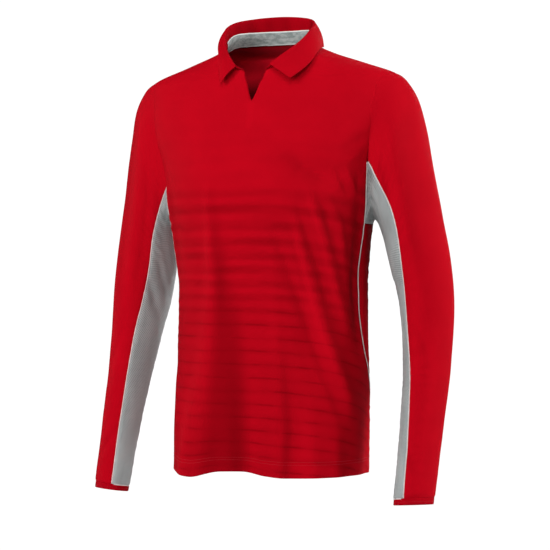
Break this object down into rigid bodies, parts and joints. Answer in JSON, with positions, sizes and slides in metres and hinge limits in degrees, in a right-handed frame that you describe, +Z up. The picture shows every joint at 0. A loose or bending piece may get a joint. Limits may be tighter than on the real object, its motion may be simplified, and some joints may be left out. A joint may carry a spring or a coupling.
{
  "type": "training jersey",
  "caption": "Long-sleeved training jersey with a fold-down collar, V slit, underarm gussets and contrast under-sleeves, held in the hollow form it has when worn.",
  "frame": {"origin": "middle of the base of the neck, level with where the shoulders come out from under the collar, where the wearer's shoulders hold the garment", "axes": "+X towards the wearer's left, -Y towards the front, +Z up"},
  "size_m": [0.588, 0.2366, 0.7855],
  "materials": {
    "red_knit": "soft polyester knit with tonal stripes",
    "grey_mesh": "open polyester mesh",
    "piping": "smooth piping",
    "neck_tape": "woven tape"
  },
  "bodies": {
    "root": {"front_upper": "red_knit", "front_lower": "red_knit", "back_upper": "red_knit", "back_lower": "red_knit", "side_panel_l": "red_knit", "side_panel_r": "red_knit", "sleeve_upper_l": "red_knit", "sleeve_upper_r": "red_knit", "sleeve_lower_l": "red_knit", "sleeve_lower_r": "red_knit", "cuff_l": "red_knit", "cuff_r": "red_knit", "collar": "red_knit", "under_sleeve_l": "grey_mesh", "under_sleeve_r": "grey_mesh", "piping_side_l": "piping", "piping_side_r": "piping", "piping_sleeve_l": "piping", "piping_sleeve_r": "piping", "piping_cuff_l": "piping", "piping_cuff_r": "piping", "neck_tape": "neck_tape"}
  },
  "joints": []
}
